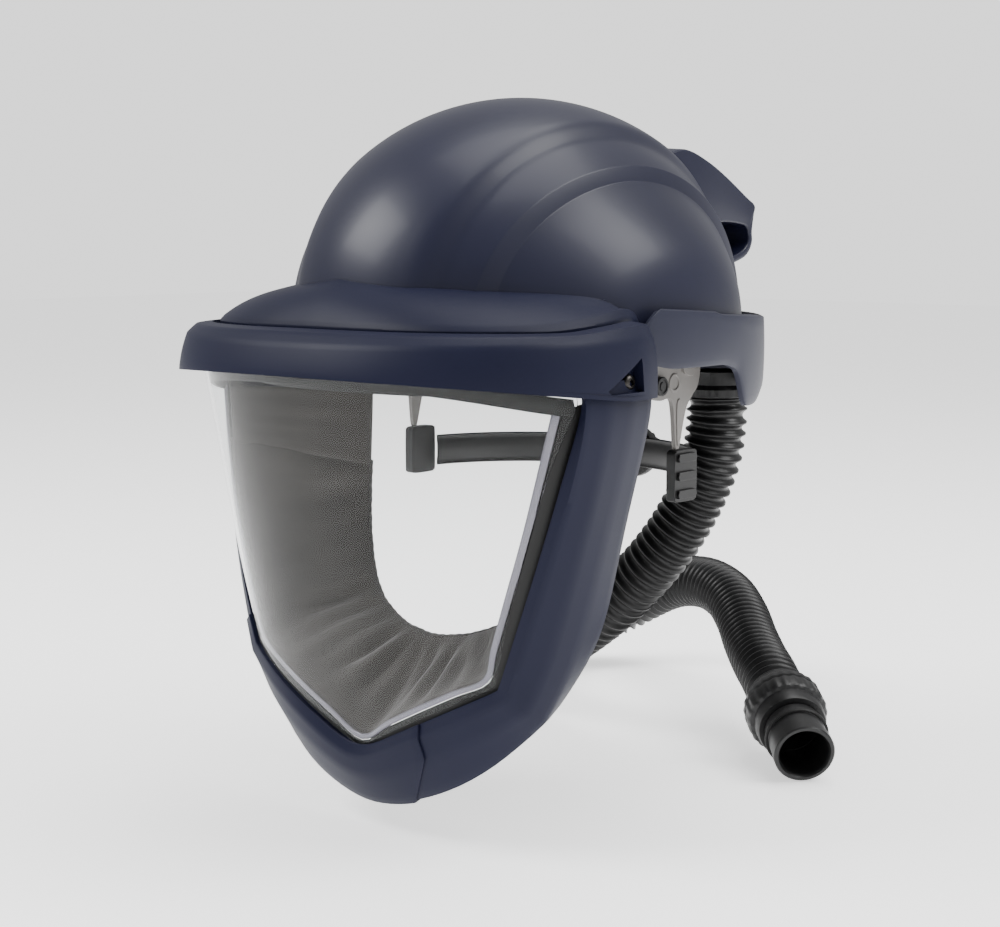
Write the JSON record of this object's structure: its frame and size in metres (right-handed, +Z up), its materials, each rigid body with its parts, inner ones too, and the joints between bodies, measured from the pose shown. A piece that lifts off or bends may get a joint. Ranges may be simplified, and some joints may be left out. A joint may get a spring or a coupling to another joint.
{
  "type": "powered air respirator",
  "caption": "Powered air respirator: helmet with lift-up clear visor, fabric face seal, head harness and a corrugated breathing hose ending in a turning connector.",
  "frame": {"origin": "middle of the headband's ring, where the wearer's head holds the helmet", "axes": "+X to the wearer's left, +Y to the back, +Z up through the crown"},
  "size_m": [0.3156, 0.4886, 0.3776],
  "materials": {
    "shell": "satin navy",
    "frame": "matte navy",
    "band": "satin grey blue",
    "lens": "clear",
    "black": "satin black",
    "light_grey": "matte light grey",
    "rubber": "matte black",
    "seal_fabric": "woven brown grey",
    "webbing": "black webbing",
    "steel": "dark",
    "brass": "satin"
  },
  "bodies": {
    "helmet": {"helmet_shell": "shell", "crown_tail": "shell", "brim_cover": "frame", "rear_band": "band", "brow_seal": "rubber", "air_duct": "black", "headband": "black", "sweatband": "seal_fabric", "crown_strap_a": "webbing", "crown_strap_b": "webbing", "suspension_bracket_left": "light_grey", "suspension_bracket_right": "light_grey", "bracket_pin_left": "black", "bracket_pin_right": "black", "strap_buckle_left": "black", "strap_buckle_right": "black", "cheek_gusset_left": "seal_fabric", "cheek_gusset_right": "seal_fabric", "pivot_block_left": "black", "pivot_block_right": "black", "pivot_bolt_left": "steel", "pivot_bolt_right": "steel", "friction_washer_left": "brass", "friction_washer_right": "brass", "breathing_hose": "rubber", "hose_collar": "black"},
    "visor": {"visor_top_band": "frame", "visor_frame": "frame", "chin_cover": "frame", "lens": "lens", "lens_gasket": "rubber", "face_seal": "seal_fabric", "visor_screw_left": "steel", "visor_screw_right": "steel", "pivot_bush_left": "black", "pivot_bush_right": "black"},
    "nape": {"nape_strap": "black", "ratchet_housing": "black"},
    "knob": {"ratchet_knob": "black"},
    "cuff": {"hose_cuff": "black"},
    "spigot": {"hose_spigot": "black", "spigot_seal": "rubber"}
  },
  "joints": [
    {"name": "visor_lift", "type": "hinge", "parent": "helmet", "child": "visor", "pos_m": [0, -0.058, -0.02], "axis": [-1, 0, 0], "range_deg": [0, 55]},
    {"name": "knob_turn", "type": "hinge", "parent": "nape", "child": "knob", "pos_m": [0, 0.11, -0.079], "axis": [0, 1, 0], "range_deg": [0, 270]},
    {"name": "nape_slide", "type": "slide", "parent": "helmet", "child": "nape", "axis": [0, -1, 0], "range_m": [0, 0.012]},
    {"name": "cuff_swivel", "type": "hinge", "parent": "helmet", "child": "cuff", "pos_m": [0.05, 0.113, -0.045], "axis": [0, 0, 1], "continuous": true},
    {"name": "spigot_swivel", "type": "hinge", "parent": "helmet", "child": "spigot", "pos_m": [0.10922, 0.11084, -0.23586], "axis": [0.6937, -0.6703, -0.2635], "continuous": true}
  ],
  "couplings": [
    {"joint": "knob_turn", "follows": "nape_slide", "rad_per_m": 392.7}
  ]
}
